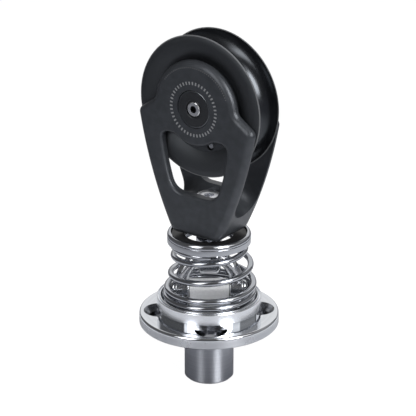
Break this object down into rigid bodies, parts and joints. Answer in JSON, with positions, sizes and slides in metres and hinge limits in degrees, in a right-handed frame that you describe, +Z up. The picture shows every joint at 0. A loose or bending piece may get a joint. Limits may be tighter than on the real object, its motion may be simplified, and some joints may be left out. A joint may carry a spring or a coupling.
{
  "type": "stand-up block",
  "caption": "Line block with a round-grooved sheave in a forked frame that swivels and tips on a spring-mounted round deck base with a spigot.",
  "frame": {"origin": "centre of the flange's underside, on the upright axis of the shank", "axes": "+Z up out of the deck, Y along the sheave axle, X across the frame's cheeks"},
  "size_m": [0.06, 0.0592, 0.1532],
  "materials": {
    "sheave_black": "glossy black hard anodised",
    "frame_black": "satin black hard anodised",
    "cap_black": "satin black anodised",
    "bearing_plastic": "plain black bearing plastic",
    "liner_plastic": "black plastic",
    "bright_steel": "bright stainless steel",
    "mirror_steel": "mirror polished stainless steel",
    "spring_steel": "polished spring wire",
    "satin_steel": "satin turned stainless steel"
  },
  "bodies": {
    "base": {"flange": "mirror_steel", "shank": "satin_steel", "lug": "mirror_steel", "collar": "mirror_steel", "spring": "spring_steel"},
    "bow_body": {"bow": "mirror_steel", "bow_pin": "mirror_steel", "pin_nut": "mirror_steel"},
    "eye_body": {"swivel_eye": "mirror_steel", "swivel_bolt": "bright_steel", "swivel_washer": "bright_steel", "upper_cup": "mirror_steel", "cup_liner": "liner_plastic"},
    "frame_body": {"frame": "frame_black", "swivel_bush": "bearing_plastic", "thrust_ring": "bearing_plastic", "axle": "bright_steel", "axle_cap_near": "cap_black", "axle_cap_far": "cap_black", "axle_screw_near": "bright_steel", "axle_screw_far": "bright_steel"},
    "sheave_body": {"sheave": "sheave_black", "bearing_sleeve": "bearing_plastic", "side_ring_near": "bearing_plastic", "side_ring_far": "bearing_plastic", "race_plug": "bright_steel"}
  },
  "joints": [
    {"name": "bow_rock", "type": "hinge", "parent": "base", "child": "bow_body", "pos_m": [0, 0, 0.0149], "axis": [0.788, 0.6157, 0], "range_deg": [-35, 35], "stiffness_Nm_per_rad": 2, "deforming": ["spring"]},
    {"name": "eye_tip", "type": "hinge", "parent": "bow_body", "child": "eye_body", "pos_m": [0, 0, 0.018], "axis": [0.6157, -0.788, 0], "range_deg": [-30, 30], "stiffness_Nm_per_rad": 2, "deforming": ["spring"]},
    {"name": "frame_swivel", "type": "hinge", "parent": "eye_body", "child": "frame_body", "pos_m": [0, 0, 0.0425], "axis": [0, 0, 1], "continuous": true},
    {"name": "sheave_spin", "type": "hinge", "parent": "frame_body", "child": "sheave_body", "pos_m": [0, 0, 0.0975], "axis": [0, 1, 0], "continuous": true}
  ]
}
